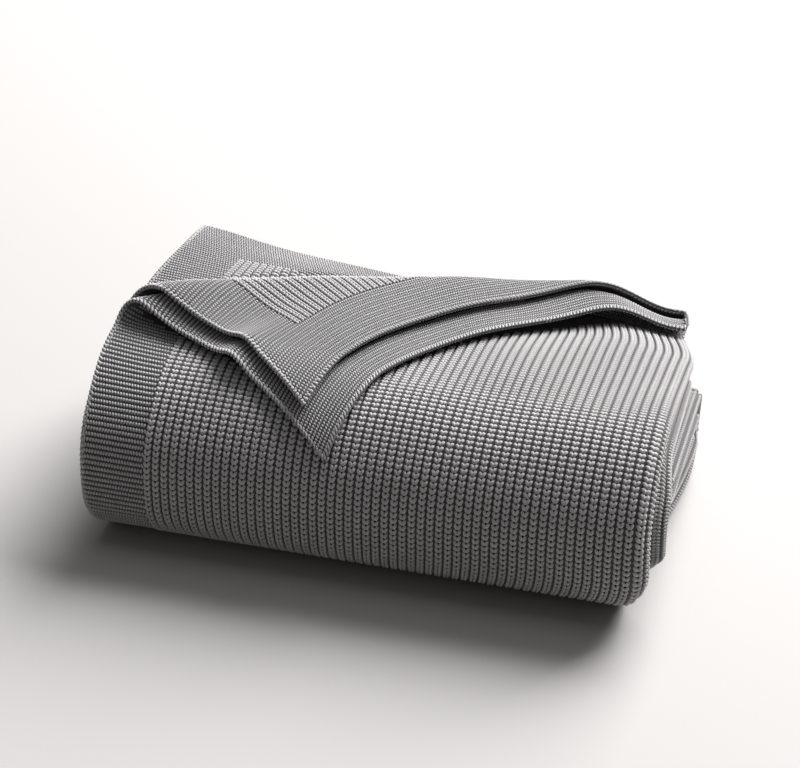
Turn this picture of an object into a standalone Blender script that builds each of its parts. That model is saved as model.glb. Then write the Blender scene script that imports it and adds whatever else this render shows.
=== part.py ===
"""A knitted blanket, folded in half both ways, folded over in thirds, with two corners turned back.

One cloth, so one solid. Every point of the flat cloth has a place (u, v): u runs across it, with 0 at
the fold down its middle, and v runs along it, with 0 at the fold across its middle. cloth_place()
carries (u, v) to where that point lies in the folded blanket, a grid of such points is the middle of
the cloth, and a Solidify modifier gives it its thickness.

Metres, +Z up. The blanket lies on its flat underside, with its length along X.
"""
import bmesh
import bpy
import numpy as np

NAME = "blanket"
COLLECTION = "knitted blanket"

# The flat cloth
CLOTH_WIDTH = 1.27
CLOTH_LENGTH = 2.25
CLOTH_THICKNESS = 0.008
PLY_PITCH = 0.0122          # from the middle of one layer to the middle of the next

# The path that the four layers follow, from the loose end on top round to the fold in the middle.
# Each row is one stretch: its length, how far it turns, the steps that it is cut into, and, where
# it ends, how far the fold at the right and the edges at the left are shifted, how much further
# apart than PLY_PITCH the layers lie, and how much further still the fold at the right stands open,
# both as a share of PLY_PITCH.
STRETCHES = (
    # name             length   turn  steps  right   left    loose  loft
    ("loose top",      0.235,  14.0,  5,     0.000,  0.003,  0.00,  0.20),
    ("front shoulder", 0.085,  45.0,  4,     0.000,  0.006,  0.15,  0.50),
    ("front",          0.080,  50.0,  4,     0.002,  0.010,  0.45,  0.50),
    ("front foot",     0.078,  87.0,  5,    -0.018,  0.018,  0.30,  0.50),
    ("bottom",         0.245,   0.0,  4,     0.010,  0.006,  0.10,  0.10),
    ("back foot",      0.045,  80.0,  4,     0.008,  0.000,  0.00,  0.00),
    ("back",           0.045,  92.0,  4,     0.010,  0.000,  0.00,  0.00),
    ("tongue",         0.200,   2.0,  4,     0.010,  0.010,  0.00,  0.00),
)
FORWARD_TO_FLOOR = 4        # the first four stretches bring the path down to the flat bottom
LOOSE_END_RIGHT = -0.022    # shifts of the right fold and the left edges at the loose end
LOOSE_END_LEFT = 0.016
FOLD_REACH = 0.017          # half the width of cloth in the rounded fold at the right
LOFT_REACH = 0.100          # that fold stands open over this much of the folded width
INNER_LOFT = 0.4            # of the outer fold's loft
NEST_RIGHT = 0.012          # each layer further in stands this much further out there
CORE_REACH = 0.020          # half the length of cloth in the turn at the middle fold

# The loose top and the tongue under it climb towards the left end
LEFT_RISE = 0.065
LEFT_RISE_POWER = 8.0
LOWER_RISE_POWER = 0.7      # of the lower layers, where they lie bare behind the crease
RISE_LENGTH = 0.330
TONGUE_RISE = 0.55          # as a share of LEFT_RISE
TONGUE_RISE_LENGTH = 0.220
SWELL = 0.002               # soft unevenness of the top

# The crease over which two corners are turned back, across the path, from its left end
CREASE_START = 0.228        # along the path
CREASE_SLOPE_LEFT = 0.80
CREASE_SLOPE_RIGHT = 0.04
CREASE_RADIUS_LEFT = 0.0135
CREASE_RADIUS_RIGHT = 0.019
RADIUS_GROWS_FROM = 0.38
RADIUS_GROWS_OVER = 0.22
LOOP_NEST = 0.95            # how much of a layer's depth is added to the radius of its turn
SETTLE_LEFT = 0.028         # how soon a turned corner comes to rest
SETTLE_RIGHT = 0.060
SETTLE_POWER = 1.5

# How far back from the crease's start each layer ends, at the left edge and at the right fold
CORNER_TOP = 0.359
CORNER_SECOND = 0.341
CORNER_THIRD = 0.283
CORNER_FOURTH = 0.263
FOLD_END_UPPER = 0.340
FOLD_END_LOWER = 0.263
LIP_SQUASH = 0.85           # how far the turned end is pressed flat where it meets the fold
LIP_SQUASH_REACH = 0.130
RIGHT_FALL = 0.009          # the loose top sinks this much at its right end

# The wave in the turned corners' left edge, and the lift of the third layer's corner
WAVE_HEIGHT = 0.022
WAVE_AT = 0.150
WAVE_LENGTH = 0.025
WAVE_REACH = 0.060
WAVE_LINE = np.radians(63.0)
CORNER_LIFT = 0.010
CORNER_LIFT_REACH = 0.080

# The grid of the cloth's middle
COLUMNS_PER_LAYER = 16
COLUMN_POWER = 1.25         # above 1, columns crowd towards the left edge
FOLD_STEPS = 7
CORE_STEPS = 3
APPROACH = 0.290            # the last shared row before the crease, along the path
APPROACH_STEPS = 3
LOOP_STEPS = 6
FLAP_STEPS = 14
SHORTEST_FLAP = 0.022

COLOUR = (0.20, 0.20, 0.20, 1.0)
ROUGHNESS = 0.95

HALF_WIDTH = CLOTH_WIDTH / 2
HALF_LENGTH = CLOTH_LENGTH / 2
LAYER_WIDTH = HALF_WIDTH - FOLD_REACH
STOPS = np.concatenate([[0.0], np.cumsum([row[1] for row in STRETCHES])])
PATH_LENGTH = STOPS[-1]


def smooth(t):
    """0 below 0, 1 above 1, and an even S between."""
    t = np.clip(t, 0.0, 1.0)
    return t * t * (3 - 2 * t)


def walk_path(samples=4001):
    """Follow the stretches: the heading turns evenly along each, and steps add up to places.

    The heading is measured from +Y towards +Z and is a whole turn along the flat bottom.
    """
    s = np.linspace(0.0, PATH_LENGTH, samples)
    turned = np.concatenate([[0.0], np.cumsum(np.radians([row[2] for row in STRETCHES]))])
    heading = np.interp(s, STOPS, turned) + 2 * np.pi - turned[FORWARD_TO_FLOOR]
    step = s[1] - s[0]
    middle = (heading[1:] + heading[:-1]) / 2
    y = np.concatenate([[0.0], np.cumsum(np.cos(middle) * step)])
    z = np.concatenate([[0.0], np.cumsum(np.sin(middle) * step)])
    outside = 1.5 * PLY_PITCH + CLOTH_THICKNESS / 2
    z += outside - np.interp(STOPS[FORWARD_TO_FLOOR], s, z)
    y += outside - y[s < STOPS[FORWARD_TO_FLOOR]].min()
    return s, heading, y, z


PATH = walk_path()


def on_path(s):
    """Place and heading on the path; before its start it runs on straight."""
    path_s, path_heading, path_y, path_z = PATH
    before = np.minimum(s, 0.0)
    y = np.interp(s, path_s, path_y) + before * np.cos(path_heading[0])
    z = np.interp(s, path_s, path_z) + before * np.sin(path_heading[0])
    return y, z, np.interp(s, path_s, path_heading)


def along_stretches(s, column):
    """A column of STRETCHES as a smooth function of the way along the path."""
    values = np.array([0.0] + [row[column] for row in STRETCHES])
    stretch = np.clip(np.searchsorted(STOPS, s) - 1, 0, len(STRETCHES) - 1)
    share = smooth((s - STOPS[stretch]) / (STOPS[stretch + 1] - STOPS[stretch]))
    return values[stretch] + (values[stretch + 1] - values[stretch]) * share


def crease_drop(foot):
    """How far back the crease has run, and its slope, at a distance from the left edge."""
    bend = (CREASE_SLOPE_RIGHT - CREASE_SLOPE_LEFT) / LAYER_WIDTH
    return CREASE_SLOPE_LEFT * foot + bend * foot ** 2 / 2, CREASE_SLOPE_LEFT + bend * foot, bend


def nearest_crease(along, back):
    """The foot of the perpendicular to the curved crease, found by a few Newton steps."""
    foot = along
    for _ in range(12):
        drop, slope, bend = crease_drop(foot)
        miss = (along - foot) + (back - drop) * slope
        foot = foot + 0.8 * miss / (1 + slope ** 2 - (back - drop) * bend)
    return foot


def crease_radius(foot):
    """Radius of the innermost turn, tight at the left edge and open towards the right fold."""
    growth = smooth((foot - RADIUS_GROWS_FROM) / RADIUS_GROWS_OVER)
    return CREASE_RADIUS_LEFT + (CREASE_RADIUS_RIGHT - CREASE_RADIUS_LEFT) * growth


def layer_end(ply_top, upper, share):
    """How far back from the crease's start a layer reaches, at a share of its width from the fold."""
    corner = np.where(upper, np.where(ply_top, CORNER_TOP, CORNER_SECOND),
                      np.where(ply_top, CORNER_FOURTH, CORNER_THIRD))
    fold = np.where(upper, FOLD_END_UPPER, FOLD_END_LOWER)
    return fold + (corner - fold) * share


def way_along(u, v):
    """Where (u, v) lies along the path before any corner is turned back."""
    share = np.maximum(np.abs(u) - FOLD_REACH, 0.0) / LAYER_WIDTH
    end = CREASE_START - layer_end(u > 0, v > 0, share)
    run = np.clip((np.abs(v) - CORE_REACH) / (HALF_LENGTH - CORE_REACH), 0.0, 1.0)
    return PATH_LENGTH + (end - PATH_LENGTH) * run


def past_crease(along, back):
    """Distance past the crease, negative before it, with its foot and the way square to it."""
    foot = nearest_crease(along, back)
    drop, slope, _ = crease_drop(foot)
    norm = np.hypot(1.0, slope)
    across, behind = -slope / norm, 1.0 / norm
    return (along - foot) * across + (back - drop) * behind, foot, drop, across, behind


def turn_corner(along, back, depth):
    """Turn cloth that lies past the crease over it, as round a rod, and let it settle.

    along and back give the place from the crease's start, depth how far below the top layer it lies.
    Returns the new along and back, the rise above where it lay, and how much of the turn is done.
    """
    past, foot, drop, across, behind = past_crease(along, back)
    past = np.maximum(past, 0.0)
    radius = crease_radius(foot) + LOOP_NEST * depth
    turn = np.minimum(past / radius, np.pi)
    flat = np.maximum(past - np.pi * radius, 0.0)
    out = radius * np.sin(turn) - flat
    rest = PLY_PITCH + 2 * depth
    settle = SETTLE_LEFT + (SETTLE_RIGHT - SETTLE_LEFT) * smooth(foot / 0.25)
    settled = rest + (2 * radius - rest) * np.exp(-(flat / settle) ** SETTLE_POWER)
    rise = np.where(flat > 0, settled, radius * (1 - np.cos(turn)))
    squash = LIP_SQUASH * smooth(1 + (along - LAYER_WIDTH) / LIP_SQUASH_REACH)
    rise = rise * (1 - squash + squash * rest / (2 * radius))
    new_along = np.where(past > 0, foot + out * across, along)
    new_back = np.where(past > 0, drop + out * behind, back)
    down = new_along * np.sin(WAVE_LINE) - new_back * np.cos(WAVE_LINE)
    aside = np.maximum(new_along * np.cos(WAVE_LINE) + new_back * np.sin(WAVE_LINE), 0.0)
    wave = np.exp(-((down - WAVE_AT) / WAVE_LENGTH) ** 2) * np.exp(-(aside / WAVE_REACH) ** 1.3)
    rise = rise + WAVE_HEIGHT * wave * smooth(flat / 0.02)
    return new_along, new_back, rise, smooth(turn / np.pi)


def cloth_place(u, v):
    """Carry points (u, v) of the flat cloth to (x, y, z) in the folded blanket."""
    u, v = np.broadcast_arrays(np.asarray(u, float), np.asarray(v, float))
    upper = v > 0
    along = LAYER_WIDTH - np.maximum(np.abs(u) - FOLD_REACH, 0.0)
    way = way_along(u, v)
    open_right = smooth(1 + (along - LAYER_WIDTH) / LOFT_REACH)
    loft = along_stretches(way, 7) * open_right * np.where(upper, 1.0, INNER_LOFT)
    half_gap = PLY_PITCH / 2 * (1 + along_stretches(way, 6) + loft)
    reach = np.minimum(np.pi / 2 * half_gap, FOLD_REACH)
    bend = np.pi / 2 * np.clip(u / reach, -1.0, 1.0)
    layer = PLY_PITCH * (1 + np.sin(bend) / 2)          # from the path out to this layer's middle
    back = CREASE_START - way
    depth = 1.5 * PLY_PITCH - np.where(upper, layer, -layer)
    lifted_along, lifted_back, rise, turned = turn_corner(along, back, depth)
    along = np.where(upper, lifted_along, along)
    back = np.where(upper, lifted_back, back)
    rise = np.where(upper, rise, 0.0)
    kept = np.where(upper, 1 - turned, 1.0)
    s = CREASE_START - back
    loft = along_stretches(s, 7) * smooth(1 + (along - LAYER_WIDTH) / LOFT_REACH) * kept
    spread = 1 + along_stretches(s, 6) * kept
    opened = np.minimum(depth, PLY_PITCH) + INNER_LOFT * np.maximum(depth - 2 * PLY_PITCH, 0.0)
    height = 1.5 * PLY_PITCH - depth * spread - loft * opened + rise
    # The turn at the middle fold, half a circle round the end of the path
    in_core = np.abs(v) < CORE_REACH
    swing = np.pi / 2 * (1 - v / CORE_REACH)
    out_of_path = np.where(in_core, layer * np.cos(swing), height)
    past_path = np.where(in_core, layer * np.sin(swing), 0.0)
    y, z, heading = on_path(s)
    y = y + out_of_path * np.sin(heading) + past_path * np.cos(heading)
    z = z - out_of_path * np.cos(heading) + past_path * np.sin(heading)
    # The ends' shifts, the climb to the left, the lifted corner and the soft unevenness
    share = 1 - along / LAYER_WIDTH
    x = along - LAYER_WIDTH / 2 + np.maximum(FOLD_REACH - np.maximum(np.abs(u), reach), 0.0)
    x = x + half_gap * np.cos(bend) + NEST_RIGHT * loft * depth / PLY_PITCH
    right = along_stretches(s, 4) + LOOSE_END_RIGHT * smooth((0.06 - s) / 0.11)
    left = along_stretches(s, 5) + LOOSE_END_LEFT * smooth((0.15 - s) / 0.15)
    x = x + right * (1 - share) + left * share ** 2
    at_root = smooth((s - STOPS[6]) / 0.10) * (1 - smooth((s - STOPS[7]) / TONGUE_RISE_LENGTH))
    climb = smooth((STOPS[2] - s) / RISE_LENGTH) + TONGUE_RISE * at_root
    share = np.clip(share, 0.0, 1.0)
    behind = np.where(upper, 0.0, smooth((past_crease(along, back)[0] - 0.020) / 0.06))
    profile = share ** LEFT_RISE_POWER
    z = z + LEFT_RISE * climb * (profile + (share ** LOWER_RISE_POWER - profile) * behind)
    z = z - RIGHT_FALL * smooth((STOPS[1] - s) / 0.12) * smooth(1 - share * LAYER_WIDTH / 0.08)
    to_corner = np.hypot(along, CORNER_THIRD - back) / CORNER_LIFT_REACH
    z = z + np.where(upper, 0.0, CORNER_LIFT * np.exp(-to_corner ** 2) * (u < 0))
    z = z + SWELL * np.sin(x / 0.031) * np.sin(s / 0.043 + 1) * smooth((STOPS[2] - s) / 0.08)
    return np.stack([x, y, z], axis=-1)


def column_stations():
    """u from one long edge to the other: even in the fold, closer towards the edges."""
    in_from_fold = LAYER_WIDTH * (1 - (1 - np.linspace(0, 1, COLUMNS_PER_LAYER + 1)) ** COLUMN_POWER)
    layer = FOLD_REACH + in_from_fold
    fold = np.linspace(-FOLD_REACH, FOLD_REACH, FOLD_STEPS + 1)[1:-1]
    return np.concatenate([-layer[::-1], fold, layer])


def rows_from_core(last):
    """Places along the path, from its end back to last: the ends of the stretches' own steps."""
    rows = [PATH_LENGTH]
    for index in range(len(STRETCHES) - 1, -1, -1):
        steps = STRETCHES[index][3]
        rows.extend(np.linspace(STOPS[index + 1], STOPS[index], steps + 1)[1:])
    rows = np.array(rows)
    return rows[rows > last + 0.008]


def lower_rows(end):
    """Rows of the two lower layers, one list for each column, down to each column's end."""
    shared = rows_from_core(APPROACH)
    tail = np.linspace(0.0, 1.0, 8)
    return np.array([np.concatenate([shared, APPROACH + (stop - APPROACH) * tail]) for stop in end])


def upper_rows(along, depth, end):
    """Rows of the two upper layers: shared up to the crease, then following its turn."""
    shared = rows_from_core(APPROACH)
    rows = []
    for place, deep, stop in zip(along, depth, end):
        drop, slope, _ = crease_drop(place)
        crease = CREASE_START - drop
        turn = np.pi * (crease_radius(place) + LOOP_NEST * deep) * np.hypot(1.0, slope)
        landed = max(crease - turn, stop + SHORTEST_FLAP * 0.6)
        crease = max(crease, landed + SHORTEST_FLAP * 0.4)
        rows.append(np.concatenate([
            shared,
            np.linspace(APPROACH, crease, APPROACH_STEPS + 1),
            np.linspace(crease, landed, LOOP_STEPS + 1)[1:],
            np.linspace(landed, stop, FLAP_STEPS + 1)[1:],
        ]))
    return np.array(rows)


def cloth_stations():
    """(u, v) of every grid point, as arrays of rows by columns."""
    u = column_stations()
    share = np.maximum(np.abs(u) - FOLD_REACH, 0.0) / LAYER_WIDTH
    bend = np.pi / 2 * np.clip(u / FOLD_REACH, -1.0, 1.0)
    depth = PLY_PITCH / 2 * (1 - np.sin(bend))
    tables = []
    for upper in (False, True):
        end = CREASE_START - layer_end(u > 0, upper, share)
        if upper:
            rows = upper_rows(LAYER_WIDTH * (1 - share), depth, end)
        else:
            rows = lower_rows(end)
        run = (PATH_LENGTH - rows) / (PATH_LENGTH - end)[:, None]
        v = CORE_REACH + run * (HALF_LENGTH - CORE_REACH)
        tables.append(v.T if upper else -v.T[::-1])
    core = np.linspace(-CORE_REACH, CORE_REACH, 2 * CORE_STEPS + 1)[1:-1]
    core = np.repeat(core[:, None], len(u), axis=1)
    v = np.concatenate([tables[0], core, tables[1]])
    return np.repeat(u[None, :], len(v), axis=0), v


def make_material():
    material = bpy.data.materials.new("mid grey cotton knit")
    material.use_nodes = True
    shader = material.node_tree.nodes["Principled BSDF"]
    shader.inputs["Base Color"].default_value = COLOUR
    shader.inputs["Roughness"].default_value = ROUGHNESS
    shader.inputs["Metallic"].default_value = 0.0
    return material


def make_cloth():
    """A flat grid, moved point by point to where the folded cloth lies, then thickened."""
    u, v = cloth_stations()
    places = cloth_place(u, v)
    rows, columns = u.shape
    sheet = bmesh.new()
    bmesh.ops.create_grid(sheet, x_segments=columns - 1, y_segments=rows - 1, size=1.0)
    sheet.verts.ensure_lookup_table()
    for vertex in sheet.verts:
        column = round((vertex.co.x + 1) / 2 * (columns - 1))
        row = round((vertex.co.y + 1) / 2 * (rows - 1))
        vertex.co = places[row, column]
    mesh = bpy.data.meshes.new(NAME)
    sheet.to_mesh(mesh)
    sheet.free()
    mesh.shade_smooth()
    cloth = bpy.data.objects.new(NAME, mesh)
    thickness = cloth.modifiers.new("cloth thickness", "SOLIDIFY")
    thickness.thickness = CLOTH_THICKNESS
    thickness.offset = 0.0
    cloth.data.materials.append(make_material())
    return cloth


def centre_on_floor(cloth):
    """Put the middle of the blanket's box over the origin, and its underside on the floor."""
    bpy.context.view_layer.update()
    seen = cloth.evaluated_get(bpy.context.evaluated_depsgraph_get())
    corners = np.array([vertex.co for vertex in seen.to_mesh().vertices])
    middle = (corners.min(axis=0) + corners.max(axis=0)) / 2
    for vertex in cloth.data.vertices:
        vertex.co.x -= middle[0]
        vertex.co.y -= middle[1]


def main():
    for thing in list(bpy.data.objects):
        bpy.data.objects.remove(thing)
    collection = bpy.data.collections.new(COLLECTION)
    bpy.context.scene.collection.children.link(collection)
    cloth = make_cloth()
    collection.objects.link(cloth)
    centre_on_floor(cloth)


main()
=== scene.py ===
# %% [markdown]
# # A folded rib-knit blanket
#
# The real blanket is one thick cotton cloth, knitted in a plump rib with a plain ridged border all
# round. It is folded in half across its width, then in half along its length, then over in thirds,
# and two of its corners are turned back on top.
#
# The lesson builds it the way it is made: first the path that the folded layers follow, then the
# cloth on that path, then the stitches, one plump loop of yarn at a time, laid on the flat cloth and
# carried into the folds with it.

import bpy
import numpy as np
from mathutils import Matrix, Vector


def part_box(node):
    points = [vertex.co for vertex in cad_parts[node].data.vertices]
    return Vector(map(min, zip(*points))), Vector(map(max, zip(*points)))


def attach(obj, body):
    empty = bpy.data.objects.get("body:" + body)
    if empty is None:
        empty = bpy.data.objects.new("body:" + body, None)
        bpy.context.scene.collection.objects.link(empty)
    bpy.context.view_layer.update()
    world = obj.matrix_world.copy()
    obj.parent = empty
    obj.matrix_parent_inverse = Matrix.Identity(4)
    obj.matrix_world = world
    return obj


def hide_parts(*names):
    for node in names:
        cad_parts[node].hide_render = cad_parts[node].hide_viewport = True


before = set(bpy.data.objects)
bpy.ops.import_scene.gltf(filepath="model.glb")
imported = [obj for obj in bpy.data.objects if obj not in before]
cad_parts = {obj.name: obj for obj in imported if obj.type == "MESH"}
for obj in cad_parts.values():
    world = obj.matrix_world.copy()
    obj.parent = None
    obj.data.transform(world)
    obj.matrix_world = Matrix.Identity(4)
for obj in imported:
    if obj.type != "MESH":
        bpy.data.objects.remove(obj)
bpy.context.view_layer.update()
BLANKET_LOW, BLANKET_HIGH = (np.array(corner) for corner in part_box("blanket"))
print("the folded blanket's box, in metres:", BLANKET_LOW.round(3), BLANKET_HIGH.round(3))

# %% [markdown]
# ## The flat cloth
#
# Every point of the flat cloth has a place (u, v). u runs across, with 0 at the fold down the
# middle, and v runs along, with 0 at the fold across the middle. The top layer of the folded
# blanket has u above 0, and the two upper layers have v above 0. All that follows is measured on
# this flat cloth, as a knitter would measure it.

# %% Sizes of the cloth and of its knitting
CLOTH_WIDTH = 1.27
CLOTH_LENGTH = 2.25
PLY_PITCH = 0.0122          # from the middle of one layer to the middle of the next
CLOTH_THICKNESS = 0.008     # over the stitches
BASE_THICKNESS = 0.0026     # the ground that the stitches stand on
BORDER = 0.083              # along the two bound-off ends
SIDE_BORDER = 0.0744        # along the two selvedges, so that whole ribs fit between
RIB_PITCH = 0.0101
ROW_PITCH = 0.0053          # from one V of a rib to the next
RIDGE_PITCH = 0.0050        # from one ridge of the border to the next
LOOP_PITCH = 0.0034         # from one loop of a ridge to the next
HALF_WIDTH = CLOTH_WIDTH / 2
HALF_LENGTH = CLOTH_LENGTH / 2
FOLD_REACH = 0.017          # half the cloth in the rounded fold down the middle
LAYER_WIDTH = HALF_WIDTH - FOLD_REACH
LOFT_REACH = 0.100          # the fold at the right stands open over this much of the width
INNER_LOFT = 0.4            # of the outer fold's loft
NEST_RIGHT = 0.012          # each layer further in stands this much further out there
CORE_REACH = 0.020          # half the cloth in the turn at the middle fold

# %% [markdown]
# ## The path of the folds
#
# Seen from the end, the four layers follow one path: back to front over the top, down the rounded
# front, along the flat bottom, up the back and into the middle. Each stretch has a length and turns
# by so many degrees, and adding up small steps gives the whole path.
#
# The other columns say what the cloth does by the end of a stretch: how far it stands out to the
# right and in from the left, how loosely the layers lie, and how far the fold at the right opens.

# %% The path
STRETCHES = (
    # name             length   turn   right   left    loose  loft
    ("loose top",      0.235,  14.0,   0.000,  0.003,  0.00,  0.20),
    ("front shoulder", 0.085,  45.0,   0.000,  0.006,  0.15,  0.50),
    ("front",          0.080,  50.0,   0.002,  0.010,  0.45,  0.50),
    ("front foot",     0.078,  87.0,  -0.018,  0.018,  0.30,  0.50),
    ("bottom",         0.245,   0.0,   0.010,  0.006,  0.10,  0.10),
    ("back foot",      0.045,  80.0,   0.008,  0.000,  0.00,  0.00),
    ("back",           0.045,  92.0,   0.010,  0.000,  0.00,  0.00),
    ("tongue",         0.200,   2.0,   0.010,  0.010,  0.00,  0.00),
)
RIGHT, LEFT, LOOSE, LOFT = 3, 4, 5, 6      # columns of the table
FORWARD_TO_FLOOR = 4                       # the path is on the floor after this many stretches
STOPS = np.concatenate([[0.0], np.cumsum([row[1] for row in STRETCHES])])
TOP_END, SHOULDER_END = STOPS[1], STOPS[2]
BACK_START, TONGUE_START = STOPS[6], STOPS[7]
PATH_LENGTH = STOPS[-1]


def smooth(t):
    """0 below 0, 1 above 1, and 3t² - 2t³ between: an even S."""
    t = np.clip(t, 0.0, 1.0)
    return t * t * (3 - 2 * t)


def walk_path(samples=4001):
    """The heading turns evenly along each stretch; y and z add up its cosine and sine."""
    s = np.linspace(0.0, PATH_LENGTH, samples)
    turned = np.concatenate([[0.0], np.cumsum(np.radians([row[2] for row in STRETCHES]))])
    heading = np.interp(s, STOPS, turned) + 2 * np.pi - turned[FORWARD_TO_FLOOR]
    step = s[1] - s[0]
    middle = (heading[1:] + heading[:-1]) / 2
    y = np.concatenate([[0.0], np.cumsum(np.cos(middle) * step)])
    z = np.concatenate([[0.0], np.cumsum(np.sin(middle) * step)])
    outside = 1.5 * PLY_PITCH + CLOTH_THICKNESS / 2
    z += outside - np.interp(STOPS[FORWARD_TO_FLOOR], s, z)
    y += outside - y[s < STOPS[FORWARD_TO_FLOOR]].min()
    return s, heading, y, z


PATH = walk_path()
print("length of the path:", round(PATH_LENGTH, 3), "m")


def on_path(s):
    """Place and heading at s; before the path's start it runs on straight."""
    path_s, path_heading, path_y, path_z = PATH
    before = np.minimum(s, 0.0)
    y = np.interp(s, path_s, path_y) + before * np.cos(path_heading[0])
    z = np.interp(s, path_s, path_z) + before * np.sin(path_heading[0])
    return y, z, np.interp(s, path_s, path_heading)


def along_stretches(s, column):
    """A column of STRETCHES, eased by smooth() from the end of one stretch to the next."""
    values = np.array([0.0] + [row[column] for row in STRETCHES])
    stretch = np.clip(np.searchsorted(STOPS, s) - 1, 0, len(STRETCHES) - 1)
    share = smooth((s - STOPS[stretch]) / (STOPS[stretch + 1] - STOPS[stretch]))
    return values[stretch] + (values[stretch + 1] - values[stretch]) * share


# %% [markdown]
# ## The turned corners
#
# Two layers are turned back over a crease that starts at the left edge and sweeps round towards the
# right fold. Past the crease the cloth goes round as on a rod, then comes forward and settles on the
# layer below. The rod is thin at the left and thick at the right, where the turn stays open.

# %% The crease
CREASE_START = 0.228        # along the path, at the left edge
CREASE_SLOPE_LEFT = 0.80
CREASE_SLOPE_RIGHT = 0.04
CREASE_RADIUS_LEFT = 0.0135
CREASE_RADIUS_RIGHT = 0.019
RADIUS_GROWS_FROM = 0.38
RADIUS_GROWS_OVER = 0.22
LOOP_NEST = 0.95            # a layer further in adds this share of its depth to the radius
SETTLE_LEFT = 0.028         # the turned cloth sinks onto the layer below over this length
SETTLE_RIGHT = 0.060
SETTLE_OVER = 0.25
SETTLE_POWER = 1.5
CORNER_TOP = 0.359          # how far back each layer reaches at its corner, from the top down
CORNER_SECOND = 0.341
CORNER_THIRD = 0.283
CORNER_FOURTH = 0.263
FOLD_END_UPPER = 0.340      # and at the right fold
FOLD_END_LOWER = 0.263
LIP_SQUASH = 0.85           # how far the turned end is pressed flat where it meets the fold
LIP_SQUASH_REACH = 0.130
RIGHT_FALL = 0.009          # the loose top sinks this much at its right end
WAVE_HEIGHT = 0.024         # a soft wave across the turned corners
WAVE_AT = 0.150
WAVE_LENGTH = 0.021
WAVE_REACH = 0.060
WAVE_FADE_POWER = 1.3
WAVE_STARTS_OVER = 0.02
WAVE_LINE = np.radians(63.0)


def crease_drop(foot):
    """The crease is a parabola: its slope changes evenly from the left edge to the right fold."""
    bend = (CREASE_SLOPE_RIGHT - CREASE_SLOPE_LEFT) / LAYER_WIDTH
    return CREASE_SLOPE_LEFT * foot + bend * foot ** 2 / 2, CREASE_SLOPE_LEFT + bend * foot, bend


def nearest_crease(along, back):
    """The foot of the perpendicular to the crease, by twelve damped Newton steps."""
    foot = along
    for _ in range(12):
        drop, slope, bend = crease_drop(foot)
        miss = (along - foot) + (back - drop) * slope
        foot = foot + 0.8 * miss / (1 + slope ** 2 - (back - drop) * bend)
    return foot


def crease_radius(foot):
    """Radius of the innermost turn, eased from its left value to its right one."""
    growth = smooth((foot - RADIUS_GROWS_FROM) / RADIUS_GROWS_OVER)
    return CREASE_RADIUS_LEFT + (CREASE_RADIUS_RIGHT - CREASE_RADIUS_LEFT) * growth


def past_crease(along, back):
    """Distance past the crease, negative before it, with the foot and the way square to it."""
    foot = nearest_crease(along, back)
    drop, slope, _ = crease_drop(foot)
    norm = np.hypot(1.0, slope)
    across, behind = -slope / norm, 1.0 / norm
    return (along - foot) * across + (back - drop) * behind, foot, drop, across, behind


def layer_end(ply_top, upper, share):
    """How far back a layer reaches, in a straight line from the fold to its corner."""
    corner = np.where(upper, np.where(ply_top, CORNER_TOP, CORNER_SECOND),
                      np.where(ply_top, CORNER_FOURTH, CORNER_THIRD))
    fold = np.where(upper, FOLD_END_UPPER, FOLD_END_LOWER)
    return fold + (corner - fold) * share


def way_along(u, v):
    """Where (u, v) lies along the path: v measures evenly from the core to the layer's end."""
    share = np.maximum(np.abs(u) - FOLD_REACH, 0.0) / LAYER_WIDTH
    end = CREASE_START - layer_end(u > 0, v > 0, share)
    run = np.clip((np.abs(v) - CORE_REACH) / (HALF_LENGTH - CORE_REACH), 0.0, 1.0)
    return PATH_LENGTH + (end - PATH_LENGTH) * run


def turn_corner(along, back, depth):
    """Past the crease, half a turn at radius r + depth, then flat, its lift dying away.

    Returns the new along and back, the rise above where it lay, and how much of the turn is done.
    """
    past, foot, drop, across, behind = past_crease(along, back)
    past = np.maximum(past, 0.0)
    radius = crease_radius(foot) + LOOP_NEST * depth
    turn = np.minimum(past / radius, np.pi)
    flat = np.maximum(past - np.pi * radius, 0.0)
    out = radius * np.sin(turn) - flat
    rest = PLY_PITCH + 2 * depth
    settle = SETTLE_LEFT + (SETTLE_RIGHT - SETTLE_LEFT) * smooth(foot / SETTLE_OVER)
    settled = rest + (2 * radius - rest) * np.exp(-(flat / settle) ** SETTLE_POWER)
    rise = np.where(flat > 0, settled, radius * (1 - np.cos(turn)))
    squash = LIP_SQUASH * smooth(1 + (along - LAYER_WIDTH) / LIP_SQUASH_REACH)
    rise = rise * (1 - squash + squash * rest / (2 * radius))
    new_along = np.where(past > 0, foot + out * across, along)
    new_back = np.where(past > 0, drop + out * behind, back)
    down = new_along * np.sin(WAVE_LINE) - new_back * np.cos(WAVE_LINE)
    aside = np.maximum(new_along * np.cos(WAVE_LINE) + new_back * np.sin(WAVE_LINE), 0.0)
    fade = np.exp(-(aside / WAVE_REACH) ** WAVE_FADE_POWER)
    wave = np.exp(-((down - WAVE_AT) / WAVE_LENGTH) ** 2) * fade
    rise = rise + WAVE_HEIGHT * wave * smooth(flat / WAVE_STARTS_OVER)
    return new_along, new_back, rise, smooth(turn / np.pi)


# %% [markdown]
# ## From flat cloth to folded cloth
#
# One function carries any point of the flat cloth to its place in the folded blanket. It puts the
# point on its layer, turns the corners, bends the layers along the path, and adds the small
# unevenness of cloth laid by hand: the climb to the left, a lifted corner and a soft swell.

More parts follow.
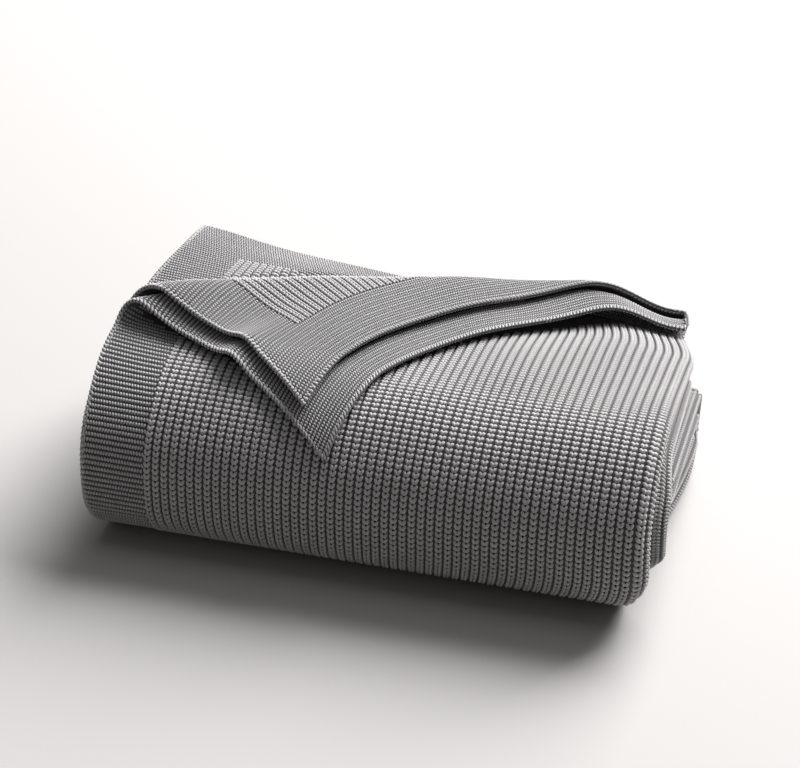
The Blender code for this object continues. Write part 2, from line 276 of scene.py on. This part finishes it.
# %% The fold itself
LOOSE_END_RIGHT = -0.022    # added to the right column towards the path's start
LOOSE_END_RIGHT_FROM = 0.06
LOOSE_END_RIGHT_OVER = 0.11
LOOSE_END_LEFT = 0.016      # added to the left column likewise
LOOSE_END_LEFT_OVER = 0.15
LEFT_RISE = 0.065
LEFT_RISE_POWER = 8.0
LOWER_RISE_POWER = 0.7      # of the lower layers, where they lie bare behind the crease
LOWER_RISE_FROM = 0.020
LOWER_RISE_OVER = 0.06
RISE_LENGTH = 0.330
TONGUE_RISE = 0.55          # of the left rise, at the root of the tongue
TONGUE_ROOT_OVER = 0.10
TONGUE_RISE_LENGTH = 0.220
RIGHT_FALL_OVER = 0.12
RIGHT_FALL_REACH = 0.08
CORNER_LIFT = 0.010         # of the third layer's corner
CORNER_LIFT_REACH = 0.080
SWELL = 0.002
SWELL_ACROSS = 0.031
SWELL_ALONG = 0.043
SWELL_OVER = 0.08


def cloth_place(u, v):
    """(u, v) of the flat cloth to (x, y, z) of the middle of the folded cloth."""
    upper = v > 0
    along = LAYER_WIDTH - np.maximum(np.abs(u) - FOLD_REACH, 0.0)
    way = way_along(u, v)
    open_right = smooth(1 + (along - LAYER_WIDTH) / LOFT_REACH)
    loft = along_stretches(way, LOFT) * open_right * np.where(upper, 1.0, INNER_LOFT)
    half_gap = PLY_PITCH / 2 * (1 + along_stretches(way, LOOSE) + loft)
    reach = np.minimum(np.pi / 2 * half_gap, FOLD_REACH)
    bend = np.pi / 2 * np.clip(u / reach, -1.0, 1.0)
    layer = PLY_PITCH * (1 + np.sin(bend) / 2)          # from the path out to this layer's middle
    back = CREASE_START - way
    depth = 1.5 * PLY_PITCH - np.where(upper, layer, -layer)
    lifted_along, lifted_back, rise, turned = turn_corner(along, back, depth)
    along = np.where(upper, lifted_along, along)
    back = np.where(upper, lifted_back, back)
    rise = np.where(upper, rise, 0.0)
    kept = np.where(upper, 1 - turned, 1.0)
    s = CREASE_START - back
    loft = along_stretches(s, LOFT) * smooth(1 + (along - LAYER_WIDTH) / LOFT_REACH) * kept
    spread = 1 + along_stretches(s, LOOSE) * kept
    opened = np.minimum(depth, PLY_PITCH) + INNER_LOFT * np.maximum(depth - 2 * PLY_PITCH, 0.0)
    height = 1.5 * PLY_PITCH - depth * spread - loft * opened + rise
    in_core = np.abs(v) < CORE_REACH
    swing = np.pi / 2 * (1 - v / CORE_REACH)
    out_of_path = np.where(in_core, layer * np.cos(swing), height)
    past_path = np.where(in_core, layer * np.sin(swing), 0.0)
    y, z, heading = on_path(s)
    y = y + out_of_path * np.sin(heading) + past_path * np.cos(heading)
    z = z - out_of_path * np.cos(heading) + past_path * np.sin(heading)
    share = 1 - along / LAYER_WIDTH
    right = along_stretches(s, RIGHT)
    right = right + LOOSE_END_RIGHT * smooth((LOOSE_END_RIGHT_FROM - s) / LOOSE_END_RIGHT_OVER)
    left = along_stretches(s, LEFT)
    left = left + LOOSE_END_LEFT * smooth((LOOSE_END_LEFT_OVER - s) / LOOSE_END_LEFT_OVER)
    x = along - LAYER_WIDTH / 2 + np.maximum(FOLD_REACH - np.maximum(np.abs(u), reach), 0.0)
    x = x + half_gap * np.cos(bend) + NEST_RIGHT * loft * depth / PLY_PITCH
    x = x + right * (1 - share) + left * share ** 2
    at_root = smooth((s - BACK_START) / TONGUE_ROOT_OVER)
    at_root = at_root * (1 - smooth((s - TONGUE_START) / TONGUE_RISE_LENGTH))
    climb = smooth((SHOULDER_END - s) / RISE_LENGTH) + TONGUE_RISE * at_root
    share = np.clip(share, 0.0, 1.0)
    past = past_crease(along, back)[0]
    behind = np.where(upper, 0.0, smooth((past - LOWER_RISE_FROM) / LOWER_RISE_OVER))
    profile = share ** LEFT_RISE_POWER
    z = z + LEFT_RISE * climb * (profile + (share ** LOWER_RISE_POWER - profile) * behind)
    at_right = smooth(1 - share * LAYER_WIDTH / RIGHT_FALL_REACH)
    z = z - RIGHT_FALL * smooth((TOP_END - s) / RIGHT_FALL_OVER) * at_right
    to_corner = np.hypot(along, CORNER_THIRD - back) / CORNER_LIFT_REACH
    z = z + np.where(upper, 0.0, CORNER_LIFT * np.exp(-to_corner ** 2) * (u < 0))
    swell = np.sin(x / SWELL_ACROSS) * np.sin(s / SWELL_ALONG + 1)
    z = z + SWELL * swell * smooth((SHOULDER_END - s) / SWELL_OVER)
    return np.stack([x, y, z], axis=-1)


# %% [markdown]
# The side of the cloth that shows on the front is its right side. A point can stand off the middle
# of the cloth on either side, so the normal is worked out from two small steps on the flat cloth.
# Last, the whole is moved to where the solid part lies, by comparing the two boxes.

# %% Off the middle of the cloth, and into place
NORMAL_STEP = 0.0004


def right_side_normal(u, v):
    """Unit vector out of the right side: (step along v) x (step along u)."""
    across = cloth_place(u + NORMAL_STEP, v) - cloth_place(u - NORMAL_STEP, v)
    along = cloth_place(u, v + NORMAL_STEP) - cloth_place(u, v - NORMAL_STEP)
    normal = np.cross(along, across)
    return normal / np.maximum(np.linalg.norm(normal, axis=-1, keepdims=True), 1e-12)


def find_shift():
    """The solid's box centre less the cloth's own, across X and Y."""
    across, along = np.linspace(-HALF_WIDTH, HALF_WIDTH, 181), np.linspace(-HALF_LENGTH, HALF_LENGTH, 401)
    u, v = np.meshgrid(across, along)
    places = cloth_place(u, v)
    normals = right_side_normal(u, v)
    skins = np.concatenate([places + normals * CLOTH_THICKNESS / 2, places - normals * CLOTH_THICKNESS / 2])
    low, high = skins.reshape(-1, 3).min(axis=0), skins.reshape(-1, 3).max(axis=0)
    shift = (BLANKET_LOW + BLANKET_HIGH - low - high) / 2
    shift[2] = 0.0
    print("the cloth's own box:", (high - low).round(4))
    print("the solid's:", (BLANKET_HIGH - BLANKET_LOW).round(4))
    return shift


SHIFT = find_shift()


def bend_cloth(u, v, height):
    """Carry points standing height off the right side into the folded blanket, above the floor."""
    places = cloth_place(u, v) + right_side_normal(u, v) * height[..., None] + SHIFT
    places[..., 2] = np.maximum(places[..., 2], 0.0)
    return places


# %% [markdown]
# ## The ground of the cloth
#
# Under the plump stitches lies the rest of the yarn, which only shows between them. Its colour is painted
# near black. This is painted shade for the deep gaps, though the real yarn there is the same grey.
# It is one thin closed sheet: a grid on the right side, a grid on the wrong side, and a rim. First
# come the helper that makes a mesh and the material that all the yarn shares.

# %% Putting arrays into a mesh
def mesh_from_triangles(name, places, triangles, material):
    """A mesh object from an array of places and an array of triangles, smooth all over."""
    mesh = bpy.data.meshes.new(name)
    mesh.vertices.add(len(places))
    mesh.vertices.foreach_set("co", places.astype(np.float32).ravel())
    mesh.loops.add(triangles.size)
    mesh.loops.foreach_set("vertex_index", triangles.astype(np.int32).ravel())
    mesh.polygons.add(len(triangles))
    mesh.polygons.foreach_set("loop_start", np.arange(0, triangles.size, 3, dtype=np.int32))
    mesh.polygons.foreach_set("use_smooth", np.ones(len(triangles), dtype=bool))
    mesh.update(calc_edges=True)
    mesh.validate()
    mesh.materials.append(material)
    piece = bpy.data.objects.new(name, mesh)
    bpy.context.scene.collection.objects.link(piece)
    print(name, "has", len(triangles), "triangles")
    return piece


# %% [markdown]
# ## The yarn
#
# The cotton is a mid grey, matt and slightly fuzzy. The colour is mottled a little, as spun yarn is,
# and a fine noise in the bump stands for its fibres. A light sheen catches the fuzz at the edges.

# %% The yarn's material
YARN_DARK = (0.36, 0.350, 0.352, 1.0)
YARN_LIGHT = (0.47, 0.458, 0.459, 1.0)
MOTTLE_SCALE = 600.0
FIBRE_SCALE = 1500.0
FIBRE_BUMP = 0.5
FIBRE_DEPTH = 0.0006
# Painted shade: the ground gets the yarn's material in near-black colours, so the gaps between the stitches
# look deep.
GROUND_SHADE_DEEP = (0.045, 0.045, 0.046, 1.0)
GROUND_SHADE_SOFT = (0.075, 0.075, 0.075, 1.0)


def yarn_material(name, dark, light):
    """Matt yarn whose colour runs from dark to light with a fine noise, with a bump of fibres."""
    material = bpy.data.materials.new(name)
    material.use_nodes = True
    nodes, links = material.node_tree.nodes, material.node_tree.links
    shader = nodes["Principled BSDF"]
    shader.inputs["Roughness"].default_value = 0.92
    shader.inputs["Sheen Weight"].default_value = 0.25
    shader.inputs["Sheen Roughness"].default_value = 0.6
    shader.inputs["Specular IOR Level"].default_value = 0.25
    places = nodes.new("ShaderNodeTexCoord")
    mottle = nodes.new("ShaderNodeTexNoise")
    mottle.inputs["Scale"].default_value = MOTTLE_SCALE
    mottle.inputs["Detail"].default_value = 3.0
    links.new(places.outputs["Object"], mottle.inputs["Vector"])
    colours = nodes.new("ShaderNodeValToRGB")
    colours.color_ramp.elements[0].position = 0.35
    colours.color_ramp.elements[0].color = dark
    colours.color_ramp.elements[1].position = 0.65
    colours.color_ramp.elements[1].color = light
    links.new(mottle.outputs["Fac"], colours.inputs["Fac"])
    links.new(colours.outputs["Color"], shader.inputs["Base Color"])
    fibres = nodes.new("ShaderNodeTexNoise")
    fibres.inputs["Scale"].default_value = FIBRE_SCALE
    fibres.inputs["Detail"].default_value = 2.0
    links.new(places.outputs["Object"], fibres.inputs["Vector"])
    bump = nodes.new("ShaderNodeBump")
    bump.inputs["Strength"].default_value = FIBRE_BUMP
    bump.inputs["Distance"].default_value = FIBRE_DEPTH
    links.new(fibres.outputs["Fac"], bump.inputs["Height"])
    links.new(bump.outputs["Normal"], shader.inputs["Normal"])
    return material


YARN = yarn_material("grey cotton yarn", YARN_DARK, YARN_LIGHT)
# The ground's material is painted shade for the gaps between the stitches.
SHADED_GROUND = yarn_material("grey cotton ground in painted shade", GROUND_SHADE_DEEP, GROUND_SHADE_SOFT)

# %% The sheet
SHEET_COLUMN = 0.0110
SHEET_ROW_LOWER = 0.012
SHEET_ROW_UPPER = 0.0062
TURNED_FROM = 0.74          # v from which the upper layers need fine rows


def sheet_stations():
    """u and v of the grid lines: close together in the fold, the core and the turned corners."""
    half = np.arange(HALF_WIDTH, FOLD_REACH, -SHEET_COLUMN)
    u = np.concatenate([-half, np.linspace(-FOLD_REACH, FOLD_REACH, 13), half[::-1]])
    lower = np.arange(-HALF_LENGTH, -CORE_REACH, SHEET_ROW_LOWER)
    core = np.linspace(-CORE_REACH, CORE_REACH, 9)
    middle = np.arange(CORE_REACH + SHEET_ROW_LOWER, TURNED_FROM, SHEET_ROW_LOWER)
    upper = np.arange(HALF_LENGTH, TURNED_FROM, -SHEET_ROW_UPPER)[::-1]
    return u, np.concatenate([lower, core, middle, upper])


def grid_triangles(rows, columns, start=0, flip=False):
    """Two triangles to each cell of a grid of points numbered row by row."""
    index = start + np.arange(rows * columns).reshape(rows, columns)
    a, b, c, d = index[:-1, :-1], index[:-1, 1:], index[1:, 1:], index[1:, :-1]
    first, second = np.stack([a, b, c], -1), np.stack([a, c, d], -1)
    triangles = np.concatenate([first.reshape(-1, 3), second.reshape(-1, 3)])
    return triangles[:, ::-1] if flip else triangles


def rim_of(rows, columns):
    """The numbers of the grid's outer points, in order round it."""
    index = np.arange(rows * columns).reshape(rows, columns)
    return np.concatenate([index[0, :-1], index[:-1, -1], index[-1, :0:-1], index[:0:-1, 0]])


def make_sheet():
    """Both sides of the ground and the rim between them, as one closed mesh."""
    u, v = np.meshgrid(*sheet_stations())
    rows, columns = u.shape
    half = np.full(u.size, BASE_THICKNESS / 2)
    right = bend_cloth(u.ravel(), v.ravel(), half)
    wrong = bend_cloth(u.ravel(), v.ravel(), -half)
    count = rows * columns
    rim = rim_of(rows, columns)
    ahead = np.roll(rim, -1)
    band = np.concatenate([
        np.stack([ahead, rim, rim + count], -1),
        np.stack([ahead, rim + count, ahead + count], -1),
    ])
    triangles = np.concatenate([
        grid_triangles(rows, columns, 0, flip=True),
        grid_triangles(rows, columns, count),
        band[:, ::-1],
    ])
    # The sheet's near-black colour is painted shade for the gaps between the stitches.
    return mesh_from_triangles("blanket_cloth", np.concatenate([right, wrong]), triangles, SHADED_GROUND)


cloth = make_sheet()
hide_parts("blanket")
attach(cloth, "root")

# %% [markdown]
# ## One loop of yarn
#
# Every stitch is made from short plump lengths of yarn. Each is a capsule: rings of points whose
# size follows half an ellipse, with a point at either end. It is laid out on the flat cloth, by its
# middle and half its length as (u, v), and stands off it by a height that arches up in the middle.

# %% Laying many lengths of yarn at once
def lay_yarn(name, middle, half, radius, height, arch, side, sides, rings, flatten=0.85):
    """middle and half are arrays of (u, v); radius, height and arch are in metres.

    Ring k sits at t from -1 to 1 along the length, with radius R (1 - t²)^0.4, and its middle
    stands height + arch (1 - t²) off the cloth, on the right side (1) or the wrong side (-1).
    """
    count = len(middle)
    t = np.sin(np.linspace(-np.pi / 2, np.pi / 2, rings + 2))
    inner = t[1:-1]
    angle = np.arange(sides) * 2 * np.pi / sides + np.pi / 2
    size = (1 - inner ** 2) ** 0.4
    length = np.linalg.norm(half, axis=1, keepdims=True)
    beside = np.stack([-half[:, 1], half[:, 0]], -1) / length
    radius = np.broadcast_to(radius, (count,))
    height = np.broadcast_to(height, (count,))
    out = radius[:, None, None] * size[None, :, None] * np.cos(angle)[None, None, :]
    flat = middle[:, None, None, :] + half[:, None, None, :] * inner[None, :, None, None]
    flat = flat + beside[:, None, None, :] * out[..., None]
    lift = height[:, None, None] + arch * (1 - inner ** 2)[None, :, None]
    lift = lift + radius[:, None, None] * size[None, :, None] * np.sin(angle)[None, None, :] * flatten
    ends = middle[:, None, :] + half[:, None, :] * np.array([-1.0, 1.0])[None, :, None]
    flat = np.concatenate([flat.reshape(count, -1, 2), ends], axis=1)
    lift = np.concatenate([lift.reshape(count, -1), np.repeat(height[:, None], 2, axis=1)], axis=1)
    places = bend_cloth(flat[..., 0].ravel(), flat[..., 1].ravel(), side * lift.ravel())
    ring = np.arange(rings * sides).reshape(rings, sides)
    after = np.roll(ring, -1, axis=1)
    first, last = rings * sides, rings * sides + 1
    faces = np.concatenate([
        np.stack([ring[:-1], ring[1:], after[1:]], -1).reshape(-1, 3),
        np.stack([ring[:-1], after[1:], after[:-1]], -1).reshape(-1, 3),
        np.stack([ring[0], after[0], np.full(sides, first)], -1),
        np.stack([after[-1], ring[-1], np.full(sides, last)], -1),
    ])
    if side < 0:
        faces = faces[:, ::-1]
    each = rings * sides + 2
    triangles = (faces[None] + each * np.arange(count)[:, None, None]).reshape(-1, 3)
    piece = mesh_from_triangles(name, places, triangles, YARN)
    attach(piece, "root")
    stitches.append(piece)


stitches = []

# %% [markdown]
# ## Which stitches show
#
# A blanket this size has far more stitches than can be seen. These helpers say where a point of the
# flat cloth ends up, so that the stitches that another layer hides can be left out.

# %% Where the stitches lie
FRONT_FROM = 0.45           # v at which the top layer leaves the floor
BACK_FROM = 0.22            # v of the top layer at the root of the tongue
BACK_TO = 0.33              # v of the top layer just under the back
TURN_FROM = 0.70            # v beyond which the upper layers may be turned back
THIRD_FROM = -0.75          # v beyond which the lower layers may lie bare
THIRD_UNDER = -0.03         # they are stitched from this far before the crease
ROUND_CREASE = 0.02
WRONG_SIDE_REACH = 0.07     # past the crease, as far as the rib's wrong side can be seen
LIP_FROM = 0.36             # along, where the lip at the right begins
FOLD_STRIP = 0.045          # u to either side of the middle fold that shows at the right
INNER_STRIP = 0.040         # and of the layers further in
FOLD_CHANGE = 0.24          # v from which the strip only runs on behind the top layer's own rib


def layer_place(cells):
    """Along from the left edge and back from the crease's start, before any turn."""
    u, v = cells[:, 0], cells[:, 1]
    return LAYER_WIDTH - np.maximum(np.abs(u) - FOLD_REACH, 0.0), CREASE_START - way_along(u, v)


def past_turn(cells):
    """How far past the crease each cell lies, negative before it."""
    return past_crease(*layer_place(cells))[0]


def covered_by_turn(along, back, depth, ply_top, margin=0.010):
    """Whether a turned corner lies over the place: unfold it and see if there is cloth."""
    past, foot, drop, across, behind = past_crease(along, back)
    radius = crease_radius(foot) + LOOP_NEST * depth
    reach = np.pi * radius - past
    from_along, from_back = foot + reach * across, drop + reach * behind
    end = layer_end(ply_top, True, 1 - np.clip(from_along / LAYER_WIDTH, 0, 1))
    return (past < margin) & (from_along > margin) & (from_back < end - margin)


def bare_on_top(cells):
    """Whether a cell of the top layer lies before the crease, or just round it, and uncovered."""
    along, back = layer_place(cells)
    return (past_turn(cells) < ROUND_CREASE) & ~covered_by_turn(along, back, 0.0, True)


def in_field(u, v):
    """Inside the border all round."""
    return (np.abs(u) < HALF_WIDTH - SIDE_BORDER) & (np.abs(v) < HALF_LENGTH - BORDER)


# %% [markdown]
# ## The rib
#
# The middle of the blanket is a plump rib: columns of V-shaped stitches, with a deep dark groove
# between one column and the next. Each V is two lengths of yarn that lean together at the bottom.

# %% The V stitches
V_HALF_ACROSS = 0.0018
V_HALF_UP = 0.0028
V_OFFSET = 0.0018           # from the middle of the rib to the middle of a leg
V_RADIUS_FRONT = 0.0019
V_RADIUS_TOP = 0.0023
PLUMP_FROM = 0.66           # v at which the ribs begin to close up towards the top
PLUMP_OVER = 0.12
V_HEIGHT = 0.0012
V_ARCH = 0.0014


def rib_cells(v_low, v_high, u_low, u_high):
    """Middles of the cells of the rib between these limits, one column to a rib."""
    column = np.arange(np.floor(u_low / RIB_PITCH), np.ceil(u_high / RIB_PITCH) + 1)
    row = np.arange(np.floor(v_low / ROW_PITCH), np.ceil(v_high / ROW_PITCH) + 1)
    u, v = np.meshgrid(column * RIB_PITCH, row * ROW_PITCH)
    keep = (u > u_low) & (u < u_high) & (v > v_low) & (v < v_high)
    cells = np.stack([u[keep], v[keep]], -1)
    return cells[in_field(cells[:, 0], cells[:, 1])]


def lay_rib(name, cells, side=1.0, sides=5, rings=3):
    """Two leaning lengths of yarn in each cell, one the mirror of the other."""
    lean = np.array([V_HALF_ACROSS, V_HALF_UP])
    mirror = np.array([-1.0, 1.0])
    offset = np.array([V_OFFSET, 0.0])
    middle = np.concatenate([cells + offset, cells + offset * mirror])
    half = np.concatenate([np.tile(lean, (len(cells), 1)), np.tile(lean * mirror, (len(cells), 1))])
    plump = smooth((np.abs(middle[:, 1]) - PLUMP_FROM) / PLUMP_OVER)
    radius = V_RADIUS_FRONT + (V_RADIUS_TOP - V_RADIUS_FRONT) * plump
    lay_yarn(name, middle, half, radius, V_HEIGHT, V_ARCH, side, sides, rings)


front = rib_cells(FRONT_FROM, HALF_LENGTH, -FOLD_REACH, HALF_WIDTH)
front = front[bare_on_top(front)]
split = front[:, 0] < LAYER_WIDTH / 2
lay_rib("rib_front_right", front[split])
lay_rib("rib_front_left", front[~split])

# %% The rest of the rib
lay_rib("rib_back", rib_cells(BACK_FROM, BACK_TO, -FOLD_REACH, HALF_WIDTH), sides=4, rings=2)
under = np.concatenate([
    rib_cells(BACK_TO, FRONT_FROM, -FOLD_REACH, HALF_WIDTH),
    rib_cells(CORE_REACH, BACK_FROM, -FOLD_REACH, HALF_WIDTH),
])
lay_rib("rib_under_and_inside", under, sides=4, rings=1)

second = rib_cells(TURN_FROM, HALF_LENGTH, -HALF_WIDTH, -FOLD_REACH)
lay_rib("rib_turned_second", second[past_turn(second) > 0.0])

top = rib_cells(TURN_FROM, HALF_LENGTH, 0.0, HALF_WIDTH)
past = past_turn(top)
lay_rib("rib_turned_top", top[(past > 0.0) & (past < WRONG_SIDE_REACH)], side=-1.0)

third = rib_cells(-HALF_LENGTH, THIRD_FROM, -HALF_WIDTH, FOLD_REACH)
lay_rib("rib_third_layer", third[past_turn(third) > THIRD_UNDER])

folds = np.concatenate([
    rib_cells(-HALF_LENGTH, FOLD_CHANGE, -INNER_STRIP, INNER_STRIP),
    rib_cells(FOLD_CHANGE, HALF_LENGTH, -FOLD_STRIP, -FOLD_REACH),
])
lay_rib("rib_along_the_fold", folds, sides=4, rings=2)

# %% [markdown]
# ## The border
#
# The border is garter stitch: ridges that run straight across the blanket, each a row of small
# slanted loops. Neighbouring ridges slant opposite ways.

# %% The small loops of the border
EDGE_CLEAR_ACROSS = 0.002   # no loops nearer to an edge than this
EDGE_CLEAR_ALONG = 0.003
LOOP_HALF_ACROSS = 0.0009
LOOP_HALF_UP = 0.0019
LOOP_RADIUS = 0.0015
LOOP_HEIGHT = 0.0009
LOOP_ARCH = 0.0010


def border_cells(v_low, v_high, u_low, u_high):
    """Middles of the border's loops between these limits, every other ridge half a loop over."""
    ridge = np.arange(np.floor(v_low / RIDGE_PITCH), np.ceil(v_high / RIDGE_PITCH) + 1)
    loop = np.arange(np.floor(u_low / LOOP_PITCH), np.ceil(u_high / LOOP_PITCH) + 1)
    u, v = np.meshgrid(loop * LOOP_PITCH, ridge * RIDGE_PITCH)
    u = u + (ridge % 2)[:, None] * LOOP_PITCH / 2
    keep = (u > u_low) & (u < u_high) & (v > v_low) & (v < v_high)
    keep &= (np.abs(u) < HALF_WIDTH - EDGE_CLEAR_ACROSS) & (np.abs(v) < HALF_LENGTH - EDGE_CLEAR_ALONG)
    cells = np.stack([u[keep], v[keep]], -1)
    return cells[~in_field(cells[:, 0], cells[:, 1])]


def lay_border(name, cells, side=1.0, sides=5, rings=2):
    """One slanted length of yarn in each cell."""
    ridge = np.round(cells[:, 1] / RIDGE_PITCH).astype(int)
    slant = np.where(ridge % 2 == 0, 1.0, -1.0)
    half = np.stack([LOOP_HALF_ACROSS * slant, np.full(len(cells), LOOP_HALF_UP)], -1)
    lay_yarn(name, cells, half, LOOP_RADIUS, LOOP_HEIGHT, LOOP_ARCH, side, sides, rings)


cells = border_cells(FRONT_FROM, HALF_LENGTH, -FOLD_REACH, HALF_WIDTH)
lip = (past_turn(cells) > 0.0) & (layer_place(cells)[0] > LIP_FROM)
lay_border("border_front", cells[bare_on_top(cells) | lip])

cells = border_cells(CORE_REACH, FRONT_FROM, -FOLD_REACH, HALF_WIDTH)
lay_border("border_under_and_back", cells, sides=4, rings=1)

cells = border_cells(TURN_FROM, HALF_LENGTH, 0.0, HALF_WIDTH)
moved_along, moved_back, _, _ = turn_corner(*layer_place(cells), np.zeros(len(cells)))
hidden = covered_by_turn(moved_along, moved_back, PLY_PITCH, False)
lay_border("border_turned_top", cells[(past_turn(cells) > 0.0) & ~hidden], side=-1.0)

cells = border_cells(TURN_FROM, HALF_LENGTH, -HALF_WIDTH, 0.0)
at_fold = cells[:, 0] > -FOLD_STRIP
lay_border("border_turned_second", cells[(past_turn(cells) > 0.0) | at_fold])

cells = border_cells(-HALF_LENGTH, THIRD_FROM, -HALF_WIDTH, FOLD_STRIP)
at_fold = np.abs(cells[:, 0]) < FOLD_STRIP
lay_border("border_third_layer", cells[(past_turn(cells) > THIRD_UNDER) | at_fold])

# %% [markdown]
# ## The edges
#
# The long edges are selvedges, a line of small knots where the rows turn. The short edges are bound
# off, which makes a thick slanted chain.

# %% Selvedges and bound-off ends
KNOT_PITCH = 0.0048
KNOT_RADIUS = 0.0021
KNOT_HALF = (0.0030, 0.0018)    # half a knot across and along
CHAIN_PITCH = 0.0052
CHAIN_RADIUS = 0.0022
CHAIN_HALF = (0.0020, 0.0032)
EDGE_IN = 0.0020                # from the cloth's rim to the middle of its knots
EDGE_FLATTEN = 1.5              # they are taller than wide, nearly as thick as the cloth
KNOTS_IN = 0.003                # from the corners to the first and last knot
CHAIN_IN = 0.002
CHAIN_OUT = 0.001


def lay_edges():
    """A row of lengths of yarn lying in the middle of the cloth's own rim."""
    shape = {"height": 0.0, "arch": 0.0, "side": 1.0, "sides": 6, "rings": 3, "flatten": EDGE_FLATTEN}
    v = np.arange(-HALF_LENGTH + KNOTS_IN, HALF_LENGTH - KNOTS_IN, KNOT_PITCH)
    selvedges = (-HALF_WIDTH + EDGE_IN, HALF_WIDTH - EDGE_IN)
    knots = np.concatenate([np.stack([np.full(len(v), edge), v], -1) for edge in selvedges])
    lay_yarn("edge_knots", knots, np.tile(KNOT_HALF, (len(knots), 1)), KNOT_RADIUS, **shape)
    u = np.arange(-HALF_WIDTH + CHAIN_IN, HALF_WIDTH - CHAIN_OUT, CHAIN_PITCH)
    ends = (-HALF_LENGTH + EDGE_IN, HALF_LENGTH - EDGE_IN)
    chain = np.concatenate([np.stack([u, np.full(len(u), end)], -1) for end in ends])
    lay_yarn("edge_chain", chain, np.tile(CHAIN_HALF, (len(chain), 1)), CHAIN_RADIUS, **shape)


lay_edges()
total = sum(len(piece.data.polygons) for piece in [cloth] + stitches)
print("triangles in all:", total)

# %% [markdown]
# ## The room
#
# A plain pale floor and soft light. One large lamp stands behind the blanket, to its right and about
# 40 degrees up, so that the top is bright and the front falls into shade. A weak lamp overhead and a
# pale surround fill that shade a little.

# %% Floor and light
FLOOR_SIZE = 30.0
FLOOR_COLOUR = (0.44, 0.427, 0.418, 1.0)
LAMPS = (
    # name                 place              size  power
    ("large lamp behind",  (2.1, 4.9, 4.7),   5.0,  1570.0),
    ("soft lamp overhead", (0.0, 0.8, 5.0),   4.0,  40.0),
)
LIT_POINT = (0.0, 0.0, 0.1)
SURROUND = 0.12


def make_floor():
    """One large pale square at the height of the blanket's underside."""
    half = FLOOR_SIZE / 2
    mesh = bpy.data.meshes.new("floor")
    corners = [(-half, -half, 0), (half, -half, 0), (half, half, 0), (-half, half, 0)]
    mesh.from_pydata(corners, [], [(0, 1, 2, 3)])
    material = bpy.data.materials.new("pale floor")
    material.use_nodes = True
    shader = material.node_tree.nodes["Principled BSDF"]
    shader.inputs["Base Color"].default_value = FLOOR_COLOUR
    shader.inputs["Roughness"].default_value = 0.8
    mesh.materials.append(material)
    floor = bpy.data.objects.new("floor", mesh)
    bpy.context.scene.collection.objects.link(floor)


def aim(thing, place, target):
    """Point a lamp's or camera's -Z at the target with its +Y up."""
    forward = np.array(target, float) - np.array(place, float)
    forward /= np.linalg.norm(forward)
    right = np.cross(forward, [0.0, 0.0, 1.0])
    right /= np.linalg.norm(right)
    up = np.cross(right, forward)
    rows = [[right[i], up[i], -forward[i], place[i]] for i in range(3)]
    thing.matrix_world = Matrix(rows + [[0, 0, 0, 1]])


def add_lamp(name, place, size, power):
    """A square lamp, its size in metres and its power in watts."""
    light = bpy.data.lights.new(name, "AREA")
    light.shape = "SQUARE"
    light.size = size
    light.energy = power
    lamp = bpy.data.objects.new(name, light)
    bpy.context.scene.collection.objects.link(lamp)
    aim(lamp, place, LIT_POINT)


make_floor()
for lamp_row in LAMPS:
    add_lamp(*lamp_row)
world = bpy.data.worlds.new("pale surround")
world.use_nodes = True
world.node_tree.nodes["Background"].inputs["Color"].default_value = (1.0, 1.0, 1.0, 1.0)
world.node_tree.nodes["Background"].inputs["Strength"].default_value = SURROUND
bpy.context.scene.world = world
bpy.context.scene.view_settings.view_transform = "Standard"

# %% [markdown]
# The camera stands a little to the right of square-on and looks down by a third of a right angle,
# with a long lens, so that the blanket's edges stay nearly parallel.

# %% The camera
CAMERA_YAW = np.radians(15.0)
CAMERA_PITCH = np.radians(33.0)
CAMERA_DISTANCE = 2.56
CAMERA_LENS = 99.0
LOOK_AT = np.array([-0.006, 0.2632, 0.10]) + SHIFT


def make_camera():
    """Placed by the way it looks and its distance from the point it looks at."""
    data = bpy.data.cameras.new("camera")
    data.lens = CAMERA_LENS
    data.sensor_width = 36.0
    camera = bpy.data.objects.new("camera", data)
    bpy.context.scene.collection.objects.link(camera)
    level = np.cos(CAMERA_PITCH)
    forward = np.array([-np.sin(CAMERA_YAW) * level, np.cos(CAMERA_YAW) * level, -np.sin(CAMERA_PITCH)])
    aim(camera, LOOK_AT - forward * CAMERA_DISTANCE, LOOK_AT)
    bpy.context.scene.camera = camera


make_camera()
